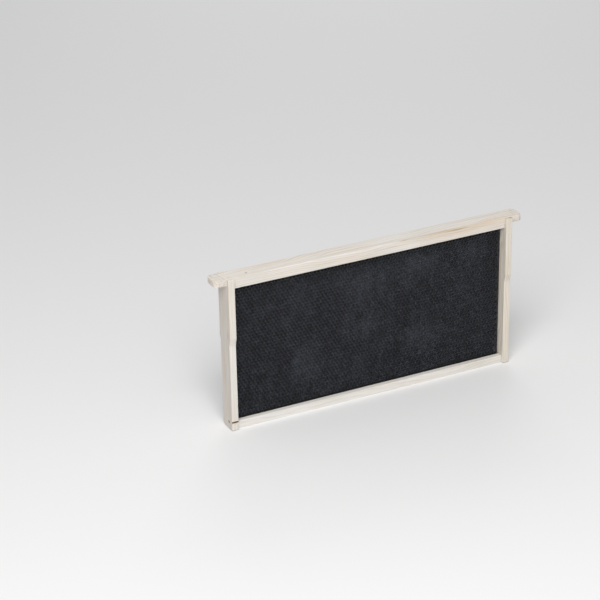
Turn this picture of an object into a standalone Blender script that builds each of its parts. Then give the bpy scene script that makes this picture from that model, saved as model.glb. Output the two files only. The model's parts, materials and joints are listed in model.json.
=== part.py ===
"""Deep hive frame: top bar with lugs, two self-spacing end bars, bottom bar, comb foundation and brads.

Metres, +Z up.  X runs along the bars, -Y is the front, and the bottom bar stands on Z = 0.
"""
import math

import bmesh
import bpy
from mathutils import Matrix, Vector

# Overall sizes of the assembled frame
TOP_BAR_LENGTH = 0.4840
OUTER_WIDTH = 0.4477
HEIGHT = 0.2320
FIT_GAP = 0.0003

# Top bar
TOP_BAR_DEPTH = 0.0270
TOP_BAR_THICKNESS = 0.0155
LUG_THICKNESS = 0.0093
LUG_CORNER_RADIUS = 0.0060
LUG_CORNER_SEGMENTS = 6

# Bottom bar, which stands a little below the feet of the end bars
BOTTOM_BAR_DEPTH = 0.0195
BOTTOM_BAR_THICKNESS = 0.0118
BOTTOM_BAR_PROUD = 0.0008

# End bars: wide shoulders above, which space the frames in the hive, and a narrow leg below
END_BAR_THICKNESS = 0.0100
SHOULDER_DEPTH = 0.0349
LEG_DEPTH = 0.0286
SHOULDER_LENGTH = 0.0884
TAPER_LENGTH = 0.0120
HOUSING_DEPTH = 0.0055
RIGHT_BACK_EAR_DROP = 0.0030
EAR_CORNER = 0.0022

# Comb foundation: a thin rim held in grooves, and a thicker embossed field
GROOVE_WIDTH = 0.0034
TOP_GROOVE_DEPTH = 0.0060
BOTTOM_GROOVE_DEPTH = 0.0048
FOUNDATION_LENGTH = 0.4250
FOUNDATION_RIM = GROOVE_WIDTH - 2 * FIT_GAP
FOUNDATION_FIELD = 0.0046
FOUNDATION_MARGIN = 0.0030
FOUNDATION_TOP_RIGHT = 0.0007
FOUNDATION_BOTTOM_RIGHT = -0.0007

# Brads
BRAD_SHANK_RADIUS = 0.0006
BRAD_TOP_HEAD_RADIUS = 0.0010
BRAD_END_HEAD_RADIUS = 0.0014
BRAD_HEAD_THICKNESS = 0.0006
BRAD_POINT = 0.0016
BRAD_SET = 0.0003
BRAD_SIDES = 16
TOP_BRAD_LENGTH = 0.0300
TOP_BRAD_SPREAD = 0.0065
END_BRAD_LENGTH = 0.0250
END_BRAD_Y = -0.0028
END_BRAD_Z = 0.0095

# Heights and faces that several parts share
OUTER_X = OUTER_WIDTH / 2
INNER_X = OUTER_X - END_BAR_THICKNESS
END_BAR_X = OUTER_X - END_BAR_THICKNESS / 2
UNDER_TOP_BAR = HEIGHT - TOP_BAR_THICKNESS
UNDER_LUG = HEIGHT - LUG_THICKNESS
SHOULDER_Z = HEIGHT - SHOULDER_LENGTH
LEG_Z = SHOULDER_Z - TAPER_LENGTH
OVERCUT = 0.0020

# Colours, linear
TOP_PINE = (0.76, 0.64, 0.50, 1.0)
LEFT_PINE = (0.74, 0.63, 0.50, 1.0)
RIGHT_PINE = (0.75, 0.62, 0.47, 1.0)
BOTTOM_PINE = (0.78, 0.68, 0.55, 1.0)
BLACK_PLASTIC = (0.022, 0.023, 0.026, 1.0)
NAIL_STEEL = (0.36, 0.35, 0.33, 1.0)


def clear_scene():
    for item in list(bpy.data.objects):
        bpy.data.objects.remove(item, do_unlink=True)


def make_collection(name):
    group = bpy.data.collections.new(name)
    bpy.context.scene.collection.children.link(group)
    return group


def make_material(name, colour, roughness, metallic=0.0):
    material = bpy.data.materials.new(name)
    material.use_nodes = True
    shader = material.node_tree.nodes["Principled BSDF"]
    shader.inputs["Base Color"].default_value = colour
    shader.inputs["Roughness"].default_value = roughness
    shader.inputs["Metallic"].default_value = metallic
    material.diffuse_color = colour
    return material


def object_from_bmesh(name, bm, group, material=None):
    mesh = bpy.data.meshes.new(name)
    bmesh.ops.recalc_face_normals(bm, faces=bm.faces)
    bm.to_mesh(mesh)
    bm.free()
    piece = bpy.data.objects.new(name, mesh)
    group.objects.link(piece)
    if material is not None:
        mesh.materials.append(material)
    return piece


def box_bmesh(low, high):
    low, high = Vector(low), Vector(high)
    size = high - low
    bm = bmesh.new()
    place = Matrix.Translation((low + high) / 2) @ Matrix.Diagonal((*size, 1.0))
    bmesh.ops.create_cube(bm, size=1.0, matrix=place)
    return bm


def make_cutter(name, bm):
    cutter = object_from_bmesh(name, bm, CUTTERS)
    cutter.display_type = "WIRE"
    cutter.hide_render = True
    return cutter


def cut_away(piece, bm, label):
    """Subtract a shape from a piece with an exact Boolean."""
    cutter = make_cutter(f"{piece.name}_{label}", bm)
    boolean = piece.modifiers.new(label, "BOOLEAN")
    boolean.operation = "DIFFERENCE"
    boolean.solver = "EXACT"
    boolean.object = cutter


def upright_edges(bm, keep):
    """Vertical edges whose middle passes the keep test."""
    found = []
    for edge in bm.edges:
        start, end = (vert.co for vert in edge.verts)
        if abs(start.z - end.z) > OVERCUT and keep((start + end) / 2):
            found.append(edge)
    return found


def brad_hole_bmesh(place, shank_length, head_radius):
    """A stepped bore with the fit gap all round a brad whose axis is local +Z."""
    bm = bmesh.new()
    bore = BRAD_SHANK_RADIUS + FIT_GAP
    recess = head_radius + FIT_GAP
    recess_depth = BRAD_SET + BRAD_HEAD_THICKNESS + FIT_GAP
    profile = [
        (0.0, -shank_length - FIT_GAP),
        (bore, -shank_length - FIT_GAP),
        (bore, -recess_depth),
        (recess, -recess_depth),
        (recess, OVERCUT),
        (0.0, OVERCUT),
    ]
    spin_profile(bm, profile)
    bmesh.ops.transform(bm, matrix=place, verts=bm.verts)
    return bm


def spin_profile(bm, profile):
    """Turn a profile of (radius, height) points once round Z."""
    points = [bm.verts.new((radius, 0.0, height)) for radius, height in profile]
    edges = [bm.edges.new(pair) for pair in zip(points, points[1:])]
    bmesh.ops.spin(
        bm,
        geom=points + edges,
        cent=(0.0, 0.0, 0.0),
        axis=(0.0, 0.0, 1.0),
        angle=math.tau,
        steps=BRAD_SIDES,
        use_merge=True,
    )
    bmesh.ops.remove_doubles(bm, verts=bm.verts, dist=1e-6)


def make_top_bar(material):
    """Straight bar with thinner lugs, rounded at their corners, and a groove underneath.

    Over the end bars the lugs are relieved by the fit gap, so that their seats end at the end bars.
    """
    half_length = TOP_BAR_LENGTH / 2
    half_depth = TOP_BAR_DEPTH / 2
    bm = box_bmesh((-half_length, -half_depth, UNDER_TOP_BAR), (half_length, half_depth, HEIGHT))
    bmesh.ops.bevel(
        bm,
        geom=upright_edges(bm, lambda middle: True),
        offset=LUG_CORNER_RADIUS,
        segments=LUG_CORNER_SEGMENTS,
        profile=0.5,
        affect="EDGES",
    )
    bar = object_from_bmesh("top_bar", bm, PARTS, material)
    width = half_depth + OVERCUT
    for label, side in (("left", -1), ("right", 1)):
        near, far = sorted((side * (INNER_X - FIT_GAP), side * (half_length + OVERCUT)))
        low = (near, -width, UNDER_TOP_BAR - OVERCUT)
        cut_away(bar, box_bmesh(low, (far, width, UNDER_LUG)), f"{label}_lug")
        near, far = sorted((side * (INNER_X - FIT_GAP), side * (OUTER_X + FIT_GAP)))
        low = (near, -width, UNDER_LUG - OVERCUT)
        cut_away(bar, box_bmesh(low, (far, width, UNDER_LUG + FIT_GAP)), f"{label}_root_relief")
    groove_low = (-INNER_X - OVERCUT, -GROOVE_WIDTH / 2, UNDER_TOP_BAR - OVERCUT)
    groove_high = (INNER_X - FIT_GAP + OVERCUT, GROOVE_WIDTH / 2, UNDER_TOP_BAR + TOP_GROOVE_DEPTH)
    cut_away(bar, box_bmesh(groove_low, groove_high), "groove")
    for label, place in top_brad_places():
        cut_away(bar, brad_hole_bmesh(place, TOP_BRAD_LENGTH, BRAD_TOP_HEAD_RADIUS), label)
    return bar


def make_bottom_bar(material):
    """Plain grooved bar, housed at both ends in the end bars."""
    reach = INNER_X + HOUSING_DEPTH - FIT_GAP
    half_depth = BOTTOM_BAR_DEPTH / 2
    bm = box_bmesh((-reach, -half_depth, 0.0), (reach, half_depth, BOTTOM_BAR_THICKNESS))
    bar = object_from_bmesh("bottom_bar", bm, PARTS, material)
    groove_low = (-reach - OVERCUT, -GROOVE_WIDTH / 2, BOTTOM_BAR_THICKNESS - BOTTOM_GROOVE_DEPTH)
    groove_high = (reach + OVERCUT, GROOVE_WIDTH / 2, BOTTOM_BAR_THICKNESS + OVERCUT)
    cut_away(bar, box_bmesh(groove_low, groove_high), "groove")
    for label, place in end_brad_places():
        cut_away(bar, brad_hole_bmesh(place, END_BRAD_LENGTH, BRAD_END_HEAD_RADIUS), label)
    return bar


def end_bar_blank(side):
    """A leg-wide board whose upper verts are moved out to the shoulder width."""
    near, far = sorted((side * INNER_X, side * OUTER_X))
    half_leg = LEG_DEPTH / 2
    bm = box_bmesh((near, -half_leg, BOTTOM_BAR_PROUD), (far, half_leg, HEIGHT))
    for height in (LEG_Z, SHOULDER_Z):
        bmesh.ops.bisect_plane(
            bm,
            geom=bm.verts[:] + bm.edges[:] + bm.faces[:],
            plane_co=(0.0, 0.0, height),
            plane_no=(0.0, 0.0, 1.0),
        )
    shoulder = [vert for vert in bm.verts if vert.co.z > (LEG_Z + SHOULDER_Z) / 2]
    bmesh.ops.scale(bm, vec=(1.0, SHOULDER_DEPTH / LEG_DEPTH, 1.0), verts=shoulder)
    back_corner = upright_edges(
        bm,
        lambda middle: middle.z > SHOULDER_Z and middle.y > 0 and abs(middle.x) > END_BAR_X,
    )
    bmesh.ops.bevel(bm, geom=back_corner, offset=EAR_CORNER, segments=3, profile=0.5, affect="EDGES")
    return bm


def make_end_bar(name, side, material):
    """Self-spacing end bar: forked round the lug above, housed for the bottom bar below."""
    bar = object_from_bmesh(name, end_bar_blank(side), PARTS, material)
    fork = TOP_BAR_DEPTH / 2 + FIT_GAP
    near, far = sorted((side * (INNER_X - OVERCUT), side * (OUTER_X + OVERCUT)))
    cut_away(bar, box_bmesh((near, -fork, UNDER_LUG), (far, fork, HEIGHT + OVERCUT)), "fork")
    housing = BOTTOM_BAR_DEPTH / 2 + FIT_GAP
    near, far = sorted((side * (INNER_X - OVERCUT), side * (INNER_X + HOUSING_DEPTH)))
    low = (near, -housing, BOTTOM_BAR_PROUD - OVERCUT)
    high = (far, housing, BOTTOM_BAR_THICKNESS + FIT_GAP)
    cut_away(bar, box_bmesh(low, high), "housing")
    if side > 0:
        drop_low = (INNER_X - OVERCUT, fork - OVERCUT, HEIGHT - RIGHT_BACK_EAR_DROP)
        drop_high = (OUTER_X + OVERCUT, SHOULDER_DEPTH / 2 + OVERCUT, HEIGHT + OVERCUT)
        cut_away(bar, box_bmesh(drop_low, drop_high), "low_back_ear")
    for label, place in top_brad_places():
        if place.translation.x * side > 0:
            cut_away(bar, brad_hole_bmesh(place, TOP_BRAD_LENGTH, BRAD_TOP_HEAD_RADIUS), label)
    for label, place in end_brad_places():
        if place.translation.x * side > 0:
            cut_away(bar, brad_hole_bmesh(place, END_BRAD_LENGTH, BRAD_END_HEAD_RADIUS), label)
    return bar


def make_foundation(material):
    """Moulded comb sheet: rim in the grooves, thicker field between, right edge a little out of true."""
    half_length = FOUNDATION_LENGTH / 2
    half_rim = FOUNDATION_RIM / 2
    low_z = BOTTOM_BAR_THICKNESS - BOTTOM_GROOVE_DEPTH + FIT_GAP
    high_z = UNDER_TOP_BAR + TOP_GROOVE_DEPTH - FIT_GAP
    bm = box_bmesh((-half_length, -half_rim, low_z), (half_length, half_rim, high_z))
    for vert in bm.verts:
        if vert.co.x > 0:
            upper = vert.co.z > HEIGHT / 2
            vert.co.x += FOUNDATION_TOP_RIGHT if upper else FOUNDATION_BOTTOM_RIGHT
    broad = [face for face in bm.faces if abs(face.normal.y) > 0.5]
    bmesh.ops.inset_individual(bm, faces=broad, thickness=FOUNDATION_MARGIN)
    field_low = BOTTOM_BAR_THICKNESS + FOUNDATION_MARGIN
    field_high = UNDER_TOP_BAR - FOUNDATION_MARGIN
    for face in broad:
        outward = math.copysign(1.0, face.calc_center_median().y)
        for vert in face.verts:
            vert.co.z = field_high if vert.co.z > HEIGHT / 2 else field_low
        raised = bmesh.ops.extrude_discrete_faces(bm, faces=[face])["faces"]
        for vert in raised[0].verts:
            vert.co.y = outward * FOUNDATION_FIELD / 2
    return object_from_bmesh("foundation", bm, PARTS, material)


def top_brad_places():
    """Brads driven down through the lug roots into the end bars; the axis of each is local +Z."""
    places = []
    for side_name, side in (("left", -1), ("right", 1)):
        for face_name, face in (("front", -1), ("back", 1)):
            spot = (side * END_BAR_X, face * TOP_BRAD_SPREAD, HEIGHT)
            places.append((f"brad_top_{side_name}_{face_name}", Matrix.Translation(spot)))
    return places


def end_brad_places():
    """Brads driven through the end bars into the ends of the bottom bar."""
    places = []
    for side_name, side in (("left", -1), ("right", 1)):
        spot = (side * OUTER_X, END_BRAD_Y, END_BRAD_Z)
        turn = Matrix.Rotation(side * math.pi / 2, 4, "Y")
        places.append((f"brad_bottom_{side_name}", Matrix.Translation(spot) @ turn))
    return places


def make_brad(name, place, length, head_radius, material):
    """Headed brad, pointed at the far end, set just under the surface."""
    bm = bmesh.new()
    head_top = -BRAD_SET
    head_base = head_top - BRAD_HEAD_THICKNESS
    profile = [
        (0.0, head_top),
        (head_radius, head_top),
        (head_radius, head_base),
        (BRAD_SHANK_RADIUS, head_base),
        (BRAD_SHANK_RADIUS, BRAD_POINT - length),
        (0.0, -length),
    ]
    spin_profile(bm, profile)
    brad = object_from_bmesh(name, bm, PARTS, material)
    brad.matrix_world = place
    return brad


clear_scene()
PARTS = make_collection("hive_frame")
CUTTERS = make_collection("cutters")
CUTTERS.hide_render = True

make_top_bar(make_material("top_bar_pine", TOP_PINE, 0.60))
make_end_bar("left_end_bar", -1, make_material("left_end_bar_pine", LEFT_PINE, 0.60))
make_end_bar("right_end_bar", 1, make_material("right_end_bar_pine", RIGHT_PINE, 0.60))
make_bottom_bar(make_material("bottom_bar_pine", BOTTOM_PINE, 0.60))
make_foundation(make_material("foundation_plastic", BLACK_PLASTIC, 0.45))
brad_steel = make_material("brad_steel", NAIL_STEEL, 0.35, 1.0)
for brad_name, brad_place in top_brad_places():
    make_brad(brad_name, brad_place, TOP_BRAD_LENGTH, BRAD_TOP_HEAD_RADIUS, brad_steel)
for brad_name, brad_place in end_brad_places():
    make_brad(brad_name, brad_place, END_BRAD_LENGTH, BRAD_END_HEAD_RADIUS, brad_steel)
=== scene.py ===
import json
import math
import random

import bmesh
import bpy
from mathutils import Matrix, Vector


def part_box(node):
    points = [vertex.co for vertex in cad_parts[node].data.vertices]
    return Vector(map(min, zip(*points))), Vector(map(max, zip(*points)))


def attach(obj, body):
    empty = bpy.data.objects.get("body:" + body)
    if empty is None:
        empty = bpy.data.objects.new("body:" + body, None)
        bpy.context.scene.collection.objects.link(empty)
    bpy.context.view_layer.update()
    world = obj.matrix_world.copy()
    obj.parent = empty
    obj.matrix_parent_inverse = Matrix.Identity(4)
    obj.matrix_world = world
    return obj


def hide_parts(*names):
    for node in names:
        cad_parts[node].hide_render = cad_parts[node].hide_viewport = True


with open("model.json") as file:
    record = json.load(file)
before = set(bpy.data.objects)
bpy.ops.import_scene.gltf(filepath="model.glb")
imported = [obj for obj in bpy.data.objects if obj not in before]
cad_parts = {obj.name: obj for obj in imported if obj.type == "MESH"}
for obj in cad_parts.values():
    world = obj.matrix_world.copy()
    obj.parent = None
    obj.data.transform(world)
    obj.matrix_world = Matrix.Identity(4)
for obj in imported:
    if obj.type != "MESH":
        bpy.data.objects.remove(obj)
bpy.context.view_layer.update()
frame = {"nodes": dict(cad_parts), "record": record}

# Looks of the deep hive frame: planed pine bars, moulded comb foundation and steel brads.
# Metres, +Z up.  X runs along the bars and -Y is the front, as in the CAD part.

# Boxes of the CAD nodes, and the places that the pieces share
TOP_LOW, TOP_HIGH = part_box("top_bar")
BOTTOM_LOW, BOTTOM_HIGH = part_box("bottom_bar")
LEFT_LOW, LEFT_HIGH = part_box("left_end_bar")
RIGHT_LOW, RIGHT_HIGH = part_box("right_end_bar")
SHEET_LOW, SHEET_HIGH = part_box("foundation")
INNER_X = RIGHT_LOW.x
OUTER_X = RIGHT_HIGH.x
MOUNTS = {mount["name"]: Vector(mount["pos_m"]) for mount in frame["record"]["mounts"]}
UNDER_LUG = MOUNTS["left_lug_seat"].z

# Joinery
FIT_GAP = 0.0003
LUG_CORNER = 0.0060
LEG_DEPTH = 0.0286
SHOULDER_LENGTH = 0.0884
TAPER_LENGTH = 0.0120
EAR_CORNER = 0.0022
RIGHT_BACK_EAR_DROP = 0.0030
GROOVE_WIDTH = 0.0034
TOP_GROOVE_DEPTH = 0.0060
BOTTOM_GROOVE_DEPTH = 0.0048
OVERCUT = 0.0020

# Planed surfaces: eased arrises, small knocks along them, and boards that aren't quite flat
EASE = 0.0005
EASE_SEGMENTS = 3
ARRIS_ANGLE = math.radians(25.0)
FLAT_ANGLE = math.radians(1.0)
DICE_ALONG = 0.0020
DICE_ACROSS = 0.0030
WAVINESS = 0.00012
WAVES_X = 41.0
WAVES_Z = 67.0
WAVES_MIXED = (29.0, 90.0)
KNOCK_REACH = (0.0015, 0.0035)
KNOCK_DEPTH = (0.00010, 0.00026)
LUG_CORNER_SEGMENTS = 10
EAR_CORNER_SEGMENTS = 5

# Comb foundation
CELL_PITCH = 0.0054
RIDGE_WIDTH = 0.0007
WALL_FOOT = 0.00075
WEB = 0.0005
RIM_THICKNESS = GROOVE_WIDTH - 2 * FIT_GAP
SHEET_MARGIN = 0.0030
FIELD_LOW_Z = BOTTOM_HIGH.z + SHEET_MARGIN
FIELD_HIGH_Z = TOP_LOW.z - SHEET_MARGIN
FIELD_LEFT_X = SHEET_LOW.x + SHEET_MARGIN
SAME_PLACE = 1e-5

# The sheet's right edge is a little out of true, so its X is read at the foot and at the head
RIM_CORNERS = []
for sheet_vert in frame["nodes"]["foundation"].data.vertices:
    on_rim = abs(abs(sheet_vert.co.y) - RIM_THICKNESS / 2) < SAME_PLACE
    if on_rim and sheet_vert.co.x > 0:
        RIM_CORNERS.append(sheet_vert.co)
SHEET_RIGHT_LOW = max(co.x for co in RIM_CORNERS if co.z < SHEET_LOW.z + SAME_PLACE)
SHEET_RIGHT_HIGH = max(co.x for co in RIM_CORNERS if co.z > SHEET_HIGH.z - SAME_PLACE)

# Brads
BRAD_SIDES = 32
SHANK_RADIUS = 0.0006
HEAD_THICKNESS = 0.0006
HEAD_SET = 0.0003
CRUSHED_RIM = 1.6 * HEAD_SET
BORE_SLACK = 0.00004
DOME = 0.00012
DOME_STEPS = 6
RIM_TURN = 0.00006
RIM_DROP = 0.00014
RIM_UNDERCUT = 0.00012
COLLAR = 0.00005
NECK = 0.0005
TIP = 0.0016

# Pine: spacing and sway of the growth rings, and how finely each kind of figure repeats along
# and across the grain
RING_SPACING = 0.0027
RING_SWAY = 0.022
SLOW_FIGURE = (7.0, 24.0, 24.0)
FIBRES = (26.0, 1300.0, 1300.0)
BANDS = (9.0, 210.0, 210.0)
SAW_STROKES = (620.0, 55.0, 90.0)
SAW_FADE = 0.0030

# Foundation plastic: how far the clouds push the patches of film about, and the bare right edge
FILM_STRAY_X = 0.110
FILM_STRAY_Z = 0.090
BARE_FROM = 0.040
BARE_TO = 0.004

# Camera and lights
CAMERA_PLACE = (-1.3376, -2.5152, 1.4793)
CAMERA_HEADING = math.radians(-26.055)
CAMERA_TILT = math.radians(90.0 - 25.057)
CAMERA_ROLL = math.radians(-1.266)
CAMERA_LENS = 133.9
CAMERA_SENSOR = 36.0
CAMERA_REACH = 50.0
LIT_POINT = (0.0, 0.0, 0.12)
SKY_STRENGTH = 0.34
FLOOR_HALF_SIZE = 9.0
FLOOR_SQUARES = 24


# ---------------------------------------------------------------- materials


class Shader:
    """A material's node tree, with a short way to add nodes and join them."""

    def __init__(self, name):
        self.material = bpy.data.materials.new(name)
        self.material.use_nodes = True
        self.tree = self.material.node_tree
        self.surface = self.tree.nodes["Principled BSDF"]

    def put(self, socket, value):
        """Join a socket to the value, or set it where the value is a plain one."""
        if isinstance(value, bpy.types.NodeSocket):
            self.tree.links.new(value, socket)
        else:
            socket.default_value = value

    def node(self, kind, inputs=(), **settings):
        """A new node with its settings made and its named inputs joined or set."""
        made = self.tree.nodes.new(kind)
        for key, value in settings.items():
            setattr(made, key, value)
        for key, value in dict(inputs).items():
            self.put(made.inputs[key], value)
        return made

    def math(self, operation, *values, clamp=False):
        made = self.node("ShaderNodeMath", operation=operation, use_clamp=clamp)
        for socket, value in zip(made.inputs, values):
            self.put(socket, value)
        return made.outputs[0]

    def total(self, *values):
        """The sum of two or more values."""
        result = values[0]
        for value in values[1:]:
            result = self.math("ADD", result, value)
        return result

    def place(self):
        """The place on the piece, in metres, as three sockets."""
        coordinates = self.node("ShaderNodeTexCoord").outputs["Object"]
        return self.node("ShaderNodeSeparateXYZ", {"Vector": coordinates}).outputs

    def vector(self, x, y, z):
        return self.node("ShaderNodeCombineXYZ", {"X": x, "Y": y, "Z": z}).outputs[0]

    def scaled(self, axes, scales):
        """The place with each axis multiplied by its own scale."""
        return self.vector(*(self.math("MULTIPLY", *pair) for pair in zip(axes, scales)))

    def noise(self, vector, scale=1.0, detail=2.0, roughness=0.5):
        """Fractal noise at a place, from about 0 to 1 round a mean of 0.5."""
        inputs = {"Vector": vector, "Scale": scale, "Detail": detail, "Roughness": roughness}
        return self.node("ShaderNodeTexNoise", inputs).outputs[0]

    def between(self, value, low, high, out_low=0.0, out_high=1.0):
        """Smooth step from one output to the other, as the value goes from low to high."""
        inputs = {
            "Value": value,
            "From Min": low,
            "From Max": high,
            "To Min": out_low,
            "To Max": out_high,
        }
        made = self.node("ShaderNodeMapRange", inputs, interpolation_type="SMOOTHSTEP")
        return made.outputs[0]

    def mix(self, how, factor, first, second):
        """Mix two colours.  A Mix node's sockets 6 and 7 are its colours, and output 2 the result."""
        made = self.node("ShaderNodeMix", data_type="RGBA", blend_type=how)
        self.put(made.inputs[0], factor)
        self.put(made.inputs[6], first)
        self.put(made.inputs[7], second)
        return made.outputs[2]

    def blend(self, factor, low, high):
        """Go from one colour to another as the factor rises."""
        return self.mix("MIX", factor, low, high)

    def tint(self, colour, factor, by):
        """Multiply a colour by another, as far as the factor says."""
        return self.mix("MULTIPLY", factor, colour, by)

    def spot(self, axes, centre, radii, soft=0.5):
        """1 inside an ellipsoid and 0 outside it, with a soft edge."""
        squares = []
        for axis, middle, radius in zip(axes, centre, radii):
            offset = self.math("DIVIDE", self.math("SUBTRACT", axis, middle), radius)
            squares.append(self.math("MULTIPLY", offset, offset))
        distance = self.math("SQRT", self.total(*squares))
        return self.between(distance, 1.0, 1.0 - soft)

    def roughen(self, strength, distance, height):
        """Bump the surface, as far as the height says."""
        inputs = {"Strength": strength, "Distance": distance, "Height": height}
        bump = self.node("ShaderNodeBump", inputs)
        self.put(self.surface.inputs["Normal"], bump.outputs[0])


def rgb(red, green, blue):
    """An opaque colour, in linear light."""
    return (red, green, blue, 1.0)


FIBRE_TINT = rgb(0.88, 0.83, 0.76)
SAWN_TINT = rgb(0.84, 0.82, 0.78)
END_GRAIN_TINT = rgb(0.90, 0.83, 0.74)
RUBBED_AND_HIGHLIT_WOOD = rgb(0.88, 0.85, 0.80)
BARE_PLASTIC = rgb(0.0052, 0.0060, 0.0090)
WAXED_PLASTIC = rgb(0.053, 0.0606, 0.0765)
# Painted shade for the strip of rim at the foot of the cells
RIM_PAINTED_SHADE = rgb(0.15, 0.15, 0.15)


def pine(name, along, tone, pith, slope, marks, seed, sawn=None):
    """Planed pine.  Rings round a pith line, fibre streaks along the grain, and end grain across it.

    along is the grain's axis, pith the two offsets of the ring centre from the bar, and slope how
    far the rings lean along the grain.  marks are (centre, radii, softness, strength, colour).
    Beyond sawn, measured from the middle, the surface keeps the cross streaks of the trimming saw.
    """
    shader = Shader(name)
    x, y, z = shader.place()
    run, side, lift = (x, y, z) if along == "X" else (z, y, x)
    drift = shader.math("ADD", run, seed)

    # Growth rings
    slow = shader.scaled((drift, side, lift), SLOW_FIGURE)
    sway = shader.math("SUBTRACT", shader.noise(slow, 1.0, 2.0), 0.5)
    sway = shader.math("MULTIPLY", sway, RING_SWAY)
    lean = shader.math("MULTIPLY", run, slope)
    ring_side = shader.math("SUBTRACT", side, pith[0])
    ring_lift = shader.math("SUBTRACT", lift, pith[1])
    squares = shader.total(
        shader.math("MULTIPLY", ring_side, ring_side), shader.math("MULTIPLY", ring_lift, ring_lift)
    )
    radius = shader.total(shader.math("SQRT", squares), sway, lean)
    ring = shader.math("FRACT", shader.math("DIVIDE", radius, RING_SPACING))
    late = shader.math(
        "MULTIPLY", shader.between(ring, 0.35, 0.88), shader.between(ring, 1.0, 0.93)
    )

    # Fibres: fine streaks, and broader bands of paler and darker wood
    fine = shader.scaled((drift, side, lift), FIBRES)
    fibre = shader.noise(fine, 1.0, 3.0, 0.6)
    band = shader.noise(shader.scaled((drift, side, lift), BANDS), 1.0, 2.0)
    patch = shader.noise(slow, 2.3, 2.0)

    early_wood, late_wood, warm, grey = tone
    late_amount = shader.math("MULTIPLY", late, shader.between(band, 0.25, 0.75, 0.35, 0.85))
    colour = shader.blend(late_amount, early_wood, late_wood)
    colour = shader.tint(colour, shader.between(band, 0.38, 0.70), warm)
    colour = shader.tint(colour, shader.between(patch, 0.42, 0.68), grey)
    colour = shader.tint(colour, shader.between(fibre, 0.45, 0.8, 0.0, 0.8), FIBRE_TINT)
    if sawn:
        strokes = shader.scaled((run, side, lift), SAW_STROKES)
        stroke = shader.between(shader.noise(strokes, 1.0, 2.0), 0.46, 0.66)
        trimmed = shader.between(shader.math("ABSOLUTE", run), sawn, sawn + SAW_FADE)
        amount = shader.math("MULTIPLY", stroke, trimmed)
        colour = shader.tint(colour, amount, SAWN_TINT)

    # End grain drinks light, and the arrises are painted paler: partly rubbed wear, partly a painted
    # highlight along the edges
    face_normal = shader.node("ShaderNodeNewGeometry").outputs["True Normal"]
    normal = shader.node("ShaderNodeSeparateXYZ", {"Vector": face_normal}).outputs
    facing = shader.math("ABSOLUTE", normal[0] if along == "X" else normal[2])
    end_grain = shader.between(facing, 0.6, 0.85)
    colour = shader.tint(colour, shader.math("MULTIPLY", end_grain, 0.35), END_GRAIN_TINT)
    worn_and_highlit = shader.node("ShaderNodeAttribute", attribute_name="arris").outputs["Fac"]
    worn_and_highlit = shader.math("MULTIPLY", worn_and_highlit, shader.between(band, 0.2, 0.6, 0.2, 0.8))
    colour = shader.blend(shader.math("MULTIPLY", worn_and_highlit, 0.45), colour, RUBBED_AND_HIGHLIT_WOOD)

    # Marks of this board
    for centre, radii, soft, strength, stain in marks:
        found = shader.spot((x, y, z), centre, radii, soft)
        streaky = shader.between(fibre, 0.25, 0.75, 0.65, 1.0)
        amount = shader.math("MULTIPLY", shader.math("MULTIPLY", found, streaky), strength)
        colour = shader.tint(colour, amount, stain)

    shader.put(shader.surface.inputs["Base Color"], colour)
    rough = shader.total(
        shader.math("MULTIPLY", fibre, 0.16), shader.math("MULTIPLY", late, -0.07), 0.53
    )
    shader.put(shader.surface.inputs["Roughness"], rough)
    shader.surface.inputs["Specular IOR Level"].default_value = 0.35

    # Raised late wood and open fibres
    height = shader.total(
        shader.math("MULTIPLY", late, 0.35),
        shader.math("MULTIPLY", fibre, 0.45),
        shader.math("MULTIPLY", shader.noise(fine, 3.1, 2.0), 0.2),
    )
    shader.roughen(0.35, 0.0002, height)
    return shader.material


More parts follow.
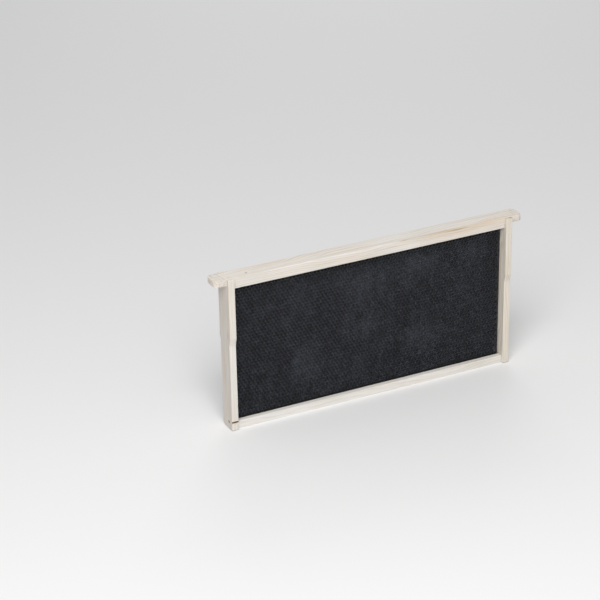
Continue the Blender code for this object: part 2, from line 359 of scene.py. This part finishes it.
def moulded_plastic(name):
    """Black satin plastic with a cloudy film of wax, thickest in a few patches.

    The film breaks up into blotches, mottle, crumbs and specks.  It thins out towards the right
    edge.  The rim over the bottom bar is matt, and its colour is darkened there as painted shade.
    """
    shader = Shader(name)
    x, y, z = shader.place()
    where = shader.vector(x, y, z)
    clouds = shader.noise(where, 34.0, 5.0, 0.68)
    other_clouds = shader.noise(where, 41.0, 4.0, 0.65)
    blotch = shader.noise(where, 80.0, 4.0, 0.7)
    mottle = shader.noise(where, 240.0, 3.0, 0.65)
    crumbs = shader.noise(where, 330.0, 2.0, 0.5)
    speck = shader.noise(where, 850.0, 2.0, 0.7)

    stray_x = shader.math("MULTIPLY", shader.math("SUBTRACT", clouds, 0.5), FILM_STRAY_X)
    stray_z = shader.math("MULTIPLY", shader.math("SUBTRACT", other_clouds, 0.5), FILM_STRAY_Z)
    place = (shader.math("ADD", x, stray_x), shader.math("ADD", z, stray_z))
    film = shader.math("MULTIPLY", shader.between(clouds, 0.36, 0.66), 0.38)
    for centre, radii, thickness in FILM:
        found = shader.spot(place, centre, radii, 1.0)
        film = shader.total(film, shader.math("MULTIPLY", found, thickness))

    # Crowns paler than the pits: partly dust on the raised crowns, partly painted highlight on the
    # crowns and painted shade down in the cells
    crown_dust_and_pit_shade = shader.between(shader.math("ABSOLUTE", y), WEB, SHEET_HIGH.y)
    amount = shader.total(
        shader.math("MULTIPLY", film, 0.42),
        shader.math("MULTIPLY", crown_dust_and_pit_shade, 0.10),
        shader.math("MULTIPLY", shader.between(blotch, 0.36, 0.64), 0.18),
        shader.math("MULTIPLY", shader.between(mottle, 0.36, 0.66), 0.30),
        shader.math("MULTIPLY", shader.between(speck, 0.52, 0.72), 0.34),
        shader.math("MULTIPLY", shader.between(crumbs, 0.52, 0.66), 0.55),
        -0.30,
    )
    bare_from = SHEET_RIGHT_LOW - BARE_FROM
    bare_to = SHEET_RIGHT_LOW - BARE_TO
    kept = shader.between(place[0], bare_from, bare_to, 1.0, 0.55)
    amount = shader.math("MULTIPLY", amount, kept, clamp=True)
    colour = shader.blend(amount, BARE_PLASTIC, WAXED_PLASTIC)
    # Painted shade: the strip of rim just under the cells is darkened; the same mask makes it matt
    rim_shade_and_matt = shader.between(z, FIELD_LOW_Z + 0.0015, FIELD_LOW_Z + 0.0003)
    colour = shader.tint(colour, rim_shade_and_matt, RIM_PAINTED_SHADE)
    shader.put(shader.surface.inputs["Base Color"], colour)

    rough = shader.total(
        shader.math("MULTIPLY", film, 0.12),
        shader.math("MULTIPLY", speck, 0.14),
        shader.math("MULTIPLY", rim_shade_and_matt, 0.60),
        0.24,
    )
    shader.put(shader.surface.inputs["Roughness"], rough)
    shader.surface.inputs["Specular IOR Level"].default_value = 0.5
    shader.roughen(0.25, 0.00005, shader.noise(where, 2600.0, 2.0, 0.6))
    return shader.material


def drawn_steel(name, bright, dull):
    """Plain wire: fine drawing lines, and dull spots where it has begun to tarnish."""
    shader = Shader(name)
    x, y, z = shader.place()
    where = shader.vector(x, y, z)
    lines = shader.noise(where, 3800.0, 2.0, 0.6)
    tarnish = shader.between(shader.noise(where, 1500.0, 3.0), 0.45, 0.7)
    shader.put(shader.surface.inputs["Base Color"], shader.blend(tarnish, bright, dull))
    shader.surface.inputs["Metallic"].default_value = 1.0
    rough = shader.total(
        shader.math("MULTIPLY", tarnish, 0.25), shader.math("MULTIPLY", lines, 0.2), 0.24
    )
    shader.put(shader.surface.inputs["Roughness"], rough)
    shader.roughen(0.3, 0.00004, lines)
    return shader.material


def studio_floor(name):
    """Pale matt paper."""
    shader = Shader(name)
    x, y, z = shader.place()
    tooth = shader.noise(shader.vector(x, y, z), 900.0, 2.0)
    colour = shader.blend(tooth, rgb(0.87, 0.87, 0.87), rgb(0.90, 0.90, 0.90))
    shader.put(shader.surface.inputs["Base Color"], colour)
    shader.surface.inputs["Roughness"].default_value = 0.9
    shader.surface.inputs["Specular IOR Level"].default_value = 0.1
    return shader.material


# ---------------------------------------------------------------- mesh tools


def block(low, high):
    """A box as a bmesh, from its two corners."""
    low, high = Vector(low), Vector(high)
    bm = bmesh.new()
    where = Matrix.Translation((low + high) / 2) @ Matrix.Diagonal((*(high - low), 1.0))
    bmesh.ops.create_cube(bm, size=1.0, matrix=where)
    return bm


def mirrored(side, near, far):
    """The two X values of a span given on the right-hand side, in rising order."""
    return sorted((side * near, side * far))


def cut(bm, cutters):
    """The bmesh with each cutter taken away, as a new bmesh."""
    made = []
    for shape in [bm] + cutters:
        mesh = bpy.data.meshes.new("shape")
        bmesh.ops.recalc_face_normals(shape, faces=shape.faces)
        shape.to_mesh(mesh)
        shape.free()
        item = bpy.data.objects.new("shape", mesh)
        bpy.context.scene.collection.objects.link(item)
        made.append(item)
    for cutter in made[1:]:
        step = made[0].modifiers.new("cut", "BOOLEAN")
        step.operation = "DIFFERENCE"
        step.solver = "EXACT"
        step.object = cutter
    graph = bpy.context.evaluated_depsgraph_get()
    result = bmesh.new()
    result.from_mesh(made[0].evaluated_get(graph).to_mesh())
    for item in made:
        mesh = item.data
        bpy.data.objects.remove(item)
        bpy.data.meshes.remove(mesh)
    return result


def upright_edges(bm, keep):
    """The edges that rise along Z and whose middles pass the keep test."""
    found = []
    for edge in bm.edges:
        start, end = (vert.co for vert in edge.verts)
        if abs(start.z - end.z) > OVERCUT and keep((start + end) / 2):
            found.append(edge)
    return found


def ease(bm):
    """Round the outer arrises slightly and mark their faces."""
    layer = bm.faces.layers.int.new("eased")
    bmesh.ops.remove_doubles(bm, verts=bm.verts, dist=1e-6)
    bmesh.ops.dissolve_limit(bm, angle_limit=FLAT_ANGLE, verts=bm.verts, edges=bm.edges)
    bm.normal_update()
    arrises = []
    for edge in bm.edges:
        if edge.is_convex and edge.calc_face_angle(0.0) > ARRIS_ANGLE:
            arrises.append(edge)
    rounded = bmesh.ops.bevel(
        bm,
        geom=arrises,
        offset=EASE,
        segments=EASE_SEGMENTS,
        profile=0.5,
        affect="EDGES",
        clamp_overlap=True,
    )
    for face in rounded["faces"]:
        face[layer] = 1


def dice(bm, steps):
    """Cut the faces by planes across each axis, so that the boards can be shaped finely."""
    for axis, step in enumerate(steps):
        places = [vert.co[axis] for vert in bm.verts]
        low, high = min(places), max(places)
        count = max(2, round((high - low) / step))
        normal = Vector((0.0, 0.0, 0.0))
        normal[axis] = 1.0
        for number in range(1, count):
            point = Vector((0.0, 0.0, 0.0))
            point[axis] = low + (high - low) * number / count
            bmesh.ops.bisect_plane(
                bm,
                geom=bm.verts[:] + bm.edges[:] + bm.faces[:],
                dist=SAME_PLACE,
                plane_co=point,
                plane_no=normal,
            )


def wear(bm, seed, knocks):
    """Press small knocks into the arrises and let the faces wander inwards a little.

    The arris layer tells the material how far each point lies on a rounded edge.
    """
    bm.normal_update()
    eased = bm.faces.layers.int["eased"]
    layer = bm.verts.layers.float.new("arris")
    for vert in bm.verts:
        vert[layer] = sum(face[eased] for face in vert.link_faces) / len(vert.link_faces)
    chance = random.Random(seed)
    on_arris = [vert for vert in bm.verts if vert[layer] > 0.9]
    on_arris.sort(key=lambda vert: tuple(vert.co))
    spots = []
    for _ in range(knocks):
        centre = chance.choice(on_arris).co.copy()
        spots.append((centre, chance.uniform(*KNOCK_REACH), chance.uniform(*KNOCK_DEPTH)))
    phases = [chance.uniform(0.0, math.tau) for _ in range(3)]
    for vert in bm.verts:
        place = vert.co
        wave = math.sin(WAVES_X * place.x + phases[0]) + math.sin(WAVES_Z * place.z + phases[1])
        turn = WAVES_MIXED[0] * (place.x + place.z) + WAVES_MIXED[1] * place.y
        wave += math.sin(turn + phases[2])
        press = WAVINESS * (wave + 3.0) / 6.0
        for centre, reach, depth in spots:
            distance = (place - centre).length / reach
            if distance < 2.5:
                press += depth * math.exp(-distance * distance)
        vert.co = place - vert.normal * press


def add_piece(name, bm, node, material, sharp=30.0):
    """Make the finished piece from its bmesh; it stands for the CAD node."""
    mesh = bpy.data.meshes.new(name)
    bm.to_mesh(mesh)
    bm.free()
    mesh.materials.append(material)
    mesh.shade_smooth()
    mesh.set_sharp_from_angle(angle=math.radians(sharp))
    piece = bpy.data.objects.new(name, mesh)
    bpy.context.scene.collection.objects.link(piece)
    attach(piece, "root")
    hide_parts(node)
    return piece


# ---------------------------------------------------------------- bars


def top_bar():
    """A board with rounded corners, thinned from below into lugs, with a groove underneath."""
    bm = block(TOP_LOW, TOP_HIGH)
    bmesh.ops.bevel(
        bm,
        geom=upright_edges(bm, lambda middle: True),
        offset=LUG_CORNER,
        segments=LUG_CORNER_SEGMENTS,
        profile=0.5,
        affect="EDGES",
    )
    cutters = []
    wide = TOP_HIGH.y + OVERCUT
    for side in (-1, 1):
        near, far = mirrored(side, INNER_X - FIT_GAP, TOP_HIGH.x + OVERCUT)
        cutters.append(block((near, -wide, TOP_LOW.z - OVERCUT), (far, wide, UNDER_LUG)))
    groove = (INNER_X + OVERCUT, GROOVE_WIDTH / 2, TOP_LOW.z + TOP_GROOVE_DEPTH)
    cutters.append(block((-groove[0], -groove[1], TOP_LOW.z - OVERCUT), groove))
    return cut(bm, cutters)


def bottom_bar():
    """A plain board with a groove along its top."""
    bm = block(BOTTOM_LOW, BOTTOM_HIGH)
    reach = BOTTOM_HIGH.x + OVERCUT
    low = (-reach, -GROOVE_WIDTH / 2, BOTTOM_HIGH.z - BOTTOM_GROOVE_DEPTH)
    high = (reach, GROOVE_WIDTH / 2, BOTTOM_HIGH.z + OVERCUT)
    return cut(bm, [block(low, high)])


def end_bar(side):
    """A board with wide shoulders and a narrow leg, forked for the lug and housed below."""
    low, high = (LEFT_LOW, LEFT_HIGH) if side < 0 else (RIGHT_LOW, RIGHT_HIGH)
    bm = block((low.x, -LEG_DEPTH / 2, low.z), (high.x, LEG_DEPTH / 2, high.z))
    shoulder_z = high.z - SHOULDER_LENGTH
    leg_z = shoulder_z - TAPER_LENGTH
    for height in (leg_z, shoulder_z):
        bmesh.ops.bisect_plane(
            bm,
            geom=bm.verts[:] + bm.edges[:] + bm.faces[:],
            plane_co=(0.0, 0.0, height),
            plane_no=(0.0, 0.0, 1.0),
        )
    shoulder = [vert for vert in bm.verts if vert.co.z > (leg_z + shoulder_z) / 2]
    bmesh.ops.scale(bm, vec=(1.0, (high.y - low.y) / LEG_DEPTH, 1.0), verts=shoulder)
    middle_x = (INNER_X + OUTER_X) / 2
    corner = upright_edges(
        bm, lambda middle: middle.z > shoulder_z and middle.y > 0 and abs(middle.x) > middle_x
    )
    bmesh.ops.bevel(
        bm,
        geom=corner,
        offset=EAR_CORNER,
        segments=EAR_CORNER_SEGMENTS,
        profile=0.5,
        affect="EDGES",
    )

    fork = TOP_HIGH.y + FIT_GAP
    near, far = mirrored(side, INNER_X - OVERCUT, OUTER_X + OVERCUT)
    cutters = [block((near, -fork, UNDER_LUG), (far, fork, high.z + OVERCUT))]
    housing = BOTTOM_HIGH.y + FIT_GAP
    near, far = mirrored(side, INNER_X - OVERCUT, BOTTOM_HIGH.x + FIT_GAP)
    housing_top = BOTTOM_HIGH.z + FIT_GAP
    cutters.append(block((near, -housing, low.z - OVERCUT), (far, housing, housing_top)))
    if side > 0:
        drop = (INNER_X - OVERCUT, fork - OVERCUT, high.z - RIGHT_BACK_EAR_DROP)
        cutters.append(block(drop, (OUTER_X + OVERCUT, high.y + OVERCUT, high.z + OVERCUT)))
    return cut(bm, cutters)


def brads_in(node):
    """The facts of each brad that enters a bar."""
    found = []
    low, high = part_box(node)
    for name in sorted(name for name in frame["nodes"] if name.startswith("brad_")):
        brad_low, brad_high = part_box(name)
        if any(brad_high[k] < low[k] or brad_low[k] > high[k] for k in range(3)):
            continue
        found.append(brad_facts(name))
    return found


def brad_facts(name):
    """A brad's name, head place, outward axis, length and head radius, from its CAD node."""
    low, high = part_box(name)
    middle = (low + high) / 2
    size = high - low
    if "top" in name:
        return name, Vector((middle.x, middle.y, high.z)), Vector((0.0, 0.0, 1.0)), size.z, size.x / 2
    side = math.copysign(1.0, middle.x)
    head_at = Vector((side * max(abs(low.x), abs(high.x)), middle.y, middle.z))
    return name, head_at, Vector((side, 0.0, 0.0)), size.x, size.z / 2


def turned(profile, head_at, axis):
    """A profile of (radius, height) points turned round an axis that leaves head_at."""
    bm = bmesh.new()
    points = [bm.verts.new((radius, 0.0, height)) for radius, height in profile]
    edges = [bm.edges.new(pair) for pair in zip(points, points[1:])]
    bmesh.ops.spin(
        bm,
        geom=points + edges,
        cent=(0.0, 0.0, 0.0),
        axis=(0.0, 0.0, 1.0),
        angle=math.tau,
        steps=BRAD_SIDES,
        use_merge=True,
    )
    bmesh.ops.remove_doubles(bm, verts=bm.verts, dist=1e-7)
    bmesh.ops.recalc_face_normals(bm, faces=bm.faces)
    turn = Vector((0.0, 0.0, 1.0)).rotation_difference(axis).to_matrix().to_4x4()
    bmesh.ops.transform(bm, matrix=Matrix.Translation(head_at) @ turn, verts=bm.verts)
    return bm


def bore(head_at, axis, length, head_radius):
    """The hole of a driven brad: a snug bore, and a recess with a crushed rim for its head."""
    bore_radius = SHANK_RADIUS + BORE_SLACK
    recess = head_radius + BORE_SLACK
    profile = [
        (0.0, -length - BORE_SLACK),
        (bore_radius, -length - BORE_SLACK),
        (bore_radius, -HEAD_THICKNESS - BORE_SLACK),
        (recess, -HEAD_THICKNESS - BORE_SLACK),
        (recess, 0.0),
        (recess + CRUSHED_RIM, HEAD_SET),
        (recess + CRUSHED_RIM, OVERCUT),
        (0.0, OVERCUT),
    ]
    return turned(profile, head_at, axis)


def finished_bar(node, bm, along, material, seed, knocks):
    """Ease, dice and wear a bar, then bore it for its brads."""
    ease(bm)
    across = (DICE_ALONG, DICE_ACROSS, DICE_ACROSS)
    dice(bm, across if along == "X" else across[::-1])
    wear(bm, seed, knocks)
    bores = [bore(*facts[1:]) for facts in brads_in(node)]
    return add_piece(f"planed_{node}", cut(bm, bores), node, material)


# ---------------------------------------------------------------- foundation


# Corners of a cell in half pitches and half corner lengths, counter-clockwise from the front, and
# the corners of each of the three facets of its base
AROUND = [(1, 1), (0, 2), (-1, 1), (-1, -1), (0, -2), (1, -1)]
BASE_FACETS = ((0, 1, 2), (2, 3, 4), (4, 5, 0))


def is_cell(key):
    """Whether a lattice point is the middle of a cell: rows step by 3, and odd rows are offset."""
    return key[1] % 3 == 0 and (key[0] - (key[1] // 3) % 2) % 2 == 0


def comb_side(bm, facing):
    """One face of the sheet: cells with three-sided bases inside a flat rim.

    facing is -1 for the front and 1 for the back.  Heights are measured outwards from the mid-plane,
    and the cells of the back stand over the corners of the front cells, so the web between them
    keeps its thickness.  The outline of the cells is returned, for the rim to be joined to.
    """
    corner = CELL_PITCH / math.sqrt(3)
    crown = corner - RIDGE_WIDTH / math.sqrt(3)
    foot = corner - 2 * WALL_FOOT / math.sqrt(3)
    rise = corner * math.sqrt(2) / 4
    shift = corner if facing > 0 else 0.0
    nearer = {(0, 2), (-1, -1), (1, -1)} if facing < 0 else {(0, -2), (-1, 1), (1, 1)}
    columns = int((SHEET_HIGH.x - FIELD_LEFT_X) / CELL_PITCH) + 2
    rows = int((FIELD_HIGH_Z - FIELD_LOW_Z) / (1.5 * corner)) + 2
    slack = 1e-9

    def spot(key):
        """X and Z of a lattice point given in half pitches and half corner lengths."""
        x = FIELD_LEFT_X + (key[0] + 1) * CELL_PITCH / 2
        return x, FIELD_LOW_Z + (key[1] + 2) * corner / 2 + shift

    def inside(key):
        """Whether a lattice point lies in the embossed field."""
        x, z = spot(key)
        if not FIELD_LEFT_X - slack <= x <= right_edge(z) - SHEET_MARGIN:
            return False
        return FIELD_LOW_Z - slack <= z <= FIELD_HIGH_Z

    cells = set()
    for row in range(-1, rows):
        for column in range(columns):
            key = (2 * column + row % 2, 3 * row)
            if all(inside((key[0] + a, key[1] + b)) for a, b in AROUND):
                cells.add(key)

    made = {}

    def point(kind, cell, offset):
        """A vertex at the crown or foot of a cell's wall, or at the middle of its base."""
        name = (kind, cell, offset)
        if name not in made:
            middle = spot(cell)
            reach = {"crown": crown, "foot": foot, "middle": 0.0}[kind]
            if kind == "crown":
                out = SHEET_HIGH.y
            elif kind == "middle":
                out = WEB / 2 - rise
            elif cell not in cells:
                out = RIM_THICKNESS / 2
            else:
                slope = 2.0 if offset in nearer else 1.0
                out = WEB / 2 - rise + slope * rise * foot / corner
            x = middle[0] + offset[0] * CELL_PITCH / 2 * reach / corner
            z = middle[1] + offset[1] * corner / 2 * reach / corner
            made[name] = bm.verts.new((x, facing * out, z))
        return made[name]

    def face(*verts):
        """A face that looks outwards on either side of the sheet."""
        bm.faces.new(verts if facing < 0 else tuple(reversed(verts)))

    corners = set()
    outline = []
    ridges = set()
    for cell in sorted(cells):
        for offset, following in zip(AROUND, AROUND[1:] + AROUND[:1]):
            other = (cell[0] + offset[0] + following[0], cell[1] + offset[1] + following[1])
            start = (cell[0] + offset[0], cell[1] + offset[1])
            end = (cell[0] + following[0], cell[1] + following[1])
            corners.add(start)
            # The wall of this cell
            face(
                point("crown", cell, offset),
                point("foot", cell, offset),
                point("foot", cell, following),
                point("crown", cell, following),
            )
            # The ridge shared with the next cell, and the outer wall where there is no next cell
            other_start = (start[0] - other[0], start[1] - other[1])
            other_end = (end[0] - other[0], end[1] - other[1])
            if (end, start) not in ridges:
                ridges.add((start, end))
                face(
                    point("crown", cell, offset),
                    point("crown", cell, following),
                    point("crown", other, other_end),
                    point("crown", other, other_start),
                )
            if other not in cells:
                face(
                    point("crown", other, other_start),
                    point("crown", other, other_end),
                    point("foot", other, other_end),
                    point("foot", other, other_start),
                )
                outline.append((point("foot", other, other_start), point("foot", other, other_end)))
        turn = 1 if facing > 0 else 0
        for facet in BASE_FACETS:
            feet = [point("foot", cell, AROUND[(number + turn) % 6]) for number in facet]
            face(point("middle", cell, (0, 0)), *feet)

    # The small triangle where three ridges meet, with a wall where two of its cells are missing
    for shared in sorted(corners):
        meeting = []
        for offset in AROUND:
            cell = (shared[0] - offset[0], shared[1] - offset[1])
            if is_cell(cell):
                meeting.append((cell, offset))
        tips = [point("crown", *item) for item in meeting]
        face(*tips)
        for number in range(3):
            following = (number + 1) % 3
            first, second = meeting[number], meeting[following]
            if first[0] not in cells and second[0] not in cells:
                feet = (point("foot", *first), point("foot", *second))
                face(tips[following], tips[number], *feet)
                outline.append(feet)
    return outline


def right_edge(z):
    """X of the sheet's right edge at a height."""
    share = (z - SHEET_LOW.z) / (SHEET_HIGH.z - SHEET_LOW.z)
    return SHEET_RIGHT_LOW + (SHEET_RIGHT_HIGH - SHEET_RIGHT_LOW) * share


def comb_sheet():
    """Both faces of the sheet, their rims and the four thin edges, as one closed mesh."""
    bm = bmesh.new()
    rims = []
    for facing in (-1, 1):
        outline = comb_side(bm, facing)
        y = facing * RIM_THICKNESS / 2
        rim = [
            bm.verts.new((SHEET_LOW.x, y, SHEET_LOW.z)),
            bm.verts.new((right_edge(SHEET_LOW.z), y, SHEET_LOW.z)),
            bm.verts.new((right_edge(SHEET_HIGH.z), y, SHEET_HIGH.z)),
            bm.verts.new((SHEET_LOW.x, y, SHEET_HIGH.z)),
        ]
        rims.append(rim)
        edges = [bm.edges.new((rim[k], rim[(k + 1) % 4])) for k in range(4)]
        for pair in outline:
            edges.append(bm.edges.get(pair) or bm.edges.new(pair))
        bmesh.ops.triangle_fill(bm, edges=edges, use_beauty=True, normal=(0.0, facing, 0.0))
    front, back = rims
    for k in range(4):
        bm.faces.new((front[k], back[k], back[(k + 1) % 4], front[(k + 1) % 4]))
    bmesh.ops.recalc_face_normals(bm, faces=bm.faces)
    return bm


# ---------------------------------------------------------------- brads


def brad(name, head_at, axis, length, head_radius, material):
    """A brad turned from its profile: domed head, short neck, shank and point."""
    profile = [(0.0, 0.0)]
    for step in range(1, DOME_STEPS):
        share = step / DOME_STEPS
        profile.append((head_radius * 0.9 * share, -DOME * share * share))
    # The rim of the head, rounded above and below, then the neck, the shank and the point
    profile += [
        (head_radius * 0.97, -DOME - RIM_TURN),
        (head_radius, -DOME - RIM_DROP),
        (head_radius, -HEAD_THICKNESS + RIM_UNDERCUT),
        (head_radius * 0.95, -HEAD_THICKNESS),
        (SHANK_RADIUS * 1.25, -HEAD_THICKNESS - COLLAR),
        (SHANK_RADIUS, -HEAD_THICKNESS - NECK),
        (SHANK_RADIUS, TIP - length),
        (0.0, -length),
    ]
    bm = turned(profile, head_at, axis)
    return add_piece(f"driven_{name}", bm, name, material, sharp=40.0)


# ---------------------------------------------------------------- the set


def add_camera():
    """The photo's camera, as it was fitted to the frame's corners."""
    camera = bpy.data.objects.new("camera", bpy.data.cameras.new("camera"))
    bpy.context.scene.collection.objects.link(camera)
    camera.data.sensor_width = CAMERA_SENSOR
    camera.data.lens = CAMERA_LENS
    camera.data.clip_end = CAMERA_REACH
    camera.location = CAMERA_PLACE
    heading = Matrix.Rotation(CAMERA_HEADING, 4, "Z")
    tilt = Matrix.Rotation(CAMERA_TILT, 4, "X")
    roll = Matrix.Rotation(CAMERA_ROLL, 4, "Z")
    camera.rotation_euler = (heading @ tilt @ roll).to_euler()
    bpy.context.scene.camera = camera


def add_softbox(name, place, size, power):
    """A rectangular lamp that looks at the middle of the frame."""
    light = bpy.data.lights.new(name, "AREA")
    light.shape = "RECTANGLE"
    light.size, light.size_y = size
    light.energy = power
    lamp = bpy.data.objects.new(name, light)
    bpy.context.scene.collection.objects.link(lamp)
    lamp.location = place
    aim = Vector(LIT_POINT) - Vector(place)
    lamp.rotation_euler = aim.to_track_quat("-Z", "Y").to_euler()
    lamp.visible_camera = False


def add_set():
    """The paper floor, an even sky, a large soft key from the front left and a weak rim light."""
    bm = bmesh.new()
    bmesh.ops.create_grid(
        bm, x_segments=FLOOR_SQUARES, y_segments=FLOOR_SQUARES, size=FLOOR_HALF_SIZE
    )
    mesh = bpy.data.meshes.new("floor")
    bm.to_mesh(mesh)
    bm.free()
    mesh.materials.append(studio_floor("floor_paper"))
    floor = bpy.data.objects.new("floor", mesh)
    bpy.context.scene.collection.objects.link(floor)

    world = bpy.data.worlds.new("studio")
    world.use_nodes = True
    sky = world.node_tree.nodes["Background"]
    sky.inputs["Color"].default_value = (1.0, 1.0, 1.0, 1.0)
    sky.inputs["Strength"].default_value = SKY_STRENGTH
    bpy.context.scene.world = world

    add_softbox("key", (-1.03, -1.76, 2.32), (1.8, 1.8), 72.0)
    add_softbox("rim", (1.3, 2.5, 1.7), (1.6, 1.2), 14.0)
    bpy.context.scene.view_settings.view_transform = "Standard"
    bpy.context.scene.view_settings.look = "None"


# ---------------------------------------------------------------- build

CREAM = rgb(0.785, 0.755, 0.722)
PALE = rgb(0.795, 0.772, 0.735)
HONEY = rgb(0.810, 0.760, 0.680)
CHALK = rgb(0.830, 0.808, 0.782)
LATE = rgb(0.665, 0.580, 0.475)
SOFT_LATE = rgb(0.740, 0.690, 0.610)
WARM = rgb(0.965, 0.925, 0.875)
COOL = rgb(0.945, 0.960, 0.960)
BLUSH = rgb(0.950, 0.875, 0.790)
GREY_TINT_AND_SIDE_SHADE = rgb(0.868, 0.842, 0.832)
RESIN_AND_EAR_SHADE = rgb(0.72, 0.61, 0.47)
AMBER = rgb(0.95, 0.87, 0.76)
UMBER = rgb(0.68, 0.60, 0.47)
KNOT = rgb(0.42, 0.36, 0.30)
BARK_AND_CORNER_SHADE = rgb(0.17, 0.088, 0.055)
GLOW = rgb(0.97, 0.80, 0.64)
SHOULDER_GREY = rgb(0.96, 0.95, 0.94)
SHOULDER_DUN = rgb(0.95, 0.93, 0.89)
RUST_AND_RECESS_SHADE = rgb(0.40, 0.35, 0.31)

# Patches of wax film on the foundation: middle in X and Z, reach in X and Z, thickness
FILM = [
    ((-0.105, 0.070), (0.045, 0.058), 0.80),
    ((-0.005, 0.110), (0.042, 0.036), 0.70),
    ((-0.005, 0.172), (0.075, 0.048), 0.75),
    ((0.080, 0.182), (0.040, 0.034), 0.75),
    ((0.163, 0.188), (0.038, 0.030), 0.50),
    ((0.148, 0.137), (0.024, 0.024), 0.50),
    ((0.086, 0.070), (0.044, 0.042), 0.70),
    ((-0.120, 0.170), (0.075, 0.060), 0.40),
    ((-0.040, 0.050), (0.060, 0.045), 0.30),
]

# Marks of each board: centre, radii, softness, strength, colour
top_front = TOP_LOW.y
front_arris = (top_front, TOP_HIGH.z)
top_marks = [
    ((0.150, *front_arris), (0.150, 0.0090, 0.0260), 1.0, 1.0, BLUSH),
    ((0.105, *front_arris), (0.095, 0.0062, 0.0048), 1.0, 0.7, RESIN_AND_EAR_SHADE),
    ((0.112, -0.0122, TOP_HIGH.z), (0.028, 0.0020, 0.0010), 0.9, 0.6, UMBER),
    ((0.134, top_front, TOP_HIGH.z - 0.0016), (0.028, 0.0014, 0.0015), 0.9, 1.3, UMBER),
    ((0.050, *front_arris), (0.012, 0.0024, 0.0010), 0.8, 1.2, UMBER),
    ((0.190, -0.0085, TOP_HIGH.z), (0.034, 0.0040, 0.0020), 1.0, 0.9, AMBER),
    ((0.182, *front_arris), (0.048, 0.0050, 0.0080), 1.0, 1.0, AMBER),
    ((-0.1909, -0.0046, TOP_HIGH.z), (0.0024, 0.0018, 0.0020), 0.6, 1.1, KNOT),
    ((-0.2385, -0.0120, TOP_HIGH.z - 0.004), (0.0020, 0.0020, 0.0050), 0.8, 0.5, RESIN_AND_EAR_SHADE),
]
leg_front = -LEG_DEPTH / 2
left_marks = [
    ((-0.2190, leg_front, 0.0138), (0.0100, 0.0016, 0.00150), 0.35, 1.6, BARK_AND_CORNER_SHADE),
    ((-0.2180, leg_front, 0.0122), (0.0060, 0.0030, 0.0026), 0.9, 1.0, GLOW),
    # Rust round the foot brad's head, darkened further as painted shade of its recess
    ((-OUTER_X, -0.0036, 0.0113), (0.0012, 0.0032, 0.0032), 0.9, 1.7, RUST_AND_RECESS_SHADE),
    ((LEFT_HIGH.x, LEFT_LOW.y, 0.185), (0.030, 0.012, 0.070), 0.6, 1.0, SHOULDER_DUN),
    # Painted shade: the whole outer face is greyed, as the side that gets less light
    ((-OUTER_X, 0.0, 0.105), (0.0009, 0.040, 0.350), 0.4, 1.3, GREY_TINT_AND_SIDE_SHADE),
    # A narrow grey band down the outer face near its front edge
    ((-OUTER_X, -0.0105, 0.1180), (0.0012, 0.0026, 0.0420), 0.9, 0.8, GREY_TINT_AND_SIDE_SHADE),
    ((-OUTER_X, -0.0111, 0.1477), (0.0020, 0.0022, 0.0110), 0.9, 0.55, KNOT),
    ((-OUTER_X, 0.0035, 0.0850), (0.0012, 0.0022, 0.0500), 0.9, 0.8, BLUSH),
]
ear_y = RIGHT_LOW.y + 0.0020
ear_z = RIGHT_HIGH.z
right_marks = [
    # Painted shade: a dark dot in the corner where the sheet, this bar and the bottom bar meet
    ((INNER_X, 0.0013, 0.0115), (0.0012, 0.0011, 0.0012), 0.5, 1.0, BARK_AND_CORNER_SHADE),
    # Painted shade: a brown patch on top of the front ear, beside the lug
    ((OUTER_X - 0.0020, ear_y, ear_z), (0.0040, 0.0030, 0.0030), 0.8, 1.5, RESIN_AND_EAR_SHADE),
    ((OUTER_X - 0.0050, ear_y, ear_z), (0.0080, 0.0060, 0.0025), 0.8, 0.6, RESIN_AND_EAR_SHADE),
    ((RIGHT_LOW.x, RIGHT_LOW.y, 0.185), (0.030, 0.012, 0.070), 0.6, 1.0, SHOULDER_GREY),
]

add_camera()
add_set()
top_tone = (CREAM, LATE, WARM, COOL)
finished_bar(
    "top_bar",
    top_bar(),
    "X",
    pine("pine_top_bar", "X", top_tone, (0.045, 0.150), 0.020, top_marks, 0.0, OUTER_X),
    seed=21,
    knocks=26,
)
bottom_tone = (CHALK, SOFT_LATE, WARM, COOL)
finished_bar(
    "bottom_bar",
    bottom_bar(),
    "X",
    pine("pine_bottom_bar", "X", bottom_tone, (-0.060, -0.030), 0.012, [], 3.1),
    seed=12,
    knocks=18,
)
left_tone = (PALE, SOFT_LATE, WARM, COOL)
finished_bar(
    "left_end_bar",
    end_bar(-1),
    "Z",
    pine("pine_left_end_bar", "Z", left_tone, (0.030, -0.270), 0.015, left_marks, 5.7),
    seed=13,
    knocks=16,
)
right_tone = (HONEY, LATE, WARM, COOL)
finished_bar(
    "right_end_bar",
    end_bar(1),
    "Z",
    pine("pine_right_end_bar", "Z", right_tone, (-0.040, 0.290), 0.018, right_marks, 8.3),
    seed=14,
    knocks=16,
)
add_piece(
    "moulded_foundation",
    comb_sheet(),
    "foundation",
    moulded_plastic("satin_black"),
    sharp=35.0,
)
bright_wire = drawn_steel("bright_wire", rgb(0.62, 0.60, 0.56), rgb(0.40, 0.36, 0.31))
# Brads in the bottom bar: rust-dark wire, darker still as painted shade of their set-in heads
rusty_and_shaded_wire = drawn_steel("rusty_and_shaded_wire", rgb(0.10, 0.080, 0.066), rgb(0.050, 0.036, 0.028))
for brad_name in sorted(name for name in frame["nodes"] if name.startswith("brad_")):
    brad(*brad_facts(brad_name), rusty_and_shaded_wire if "bottom" in brad_name else bright_wire)
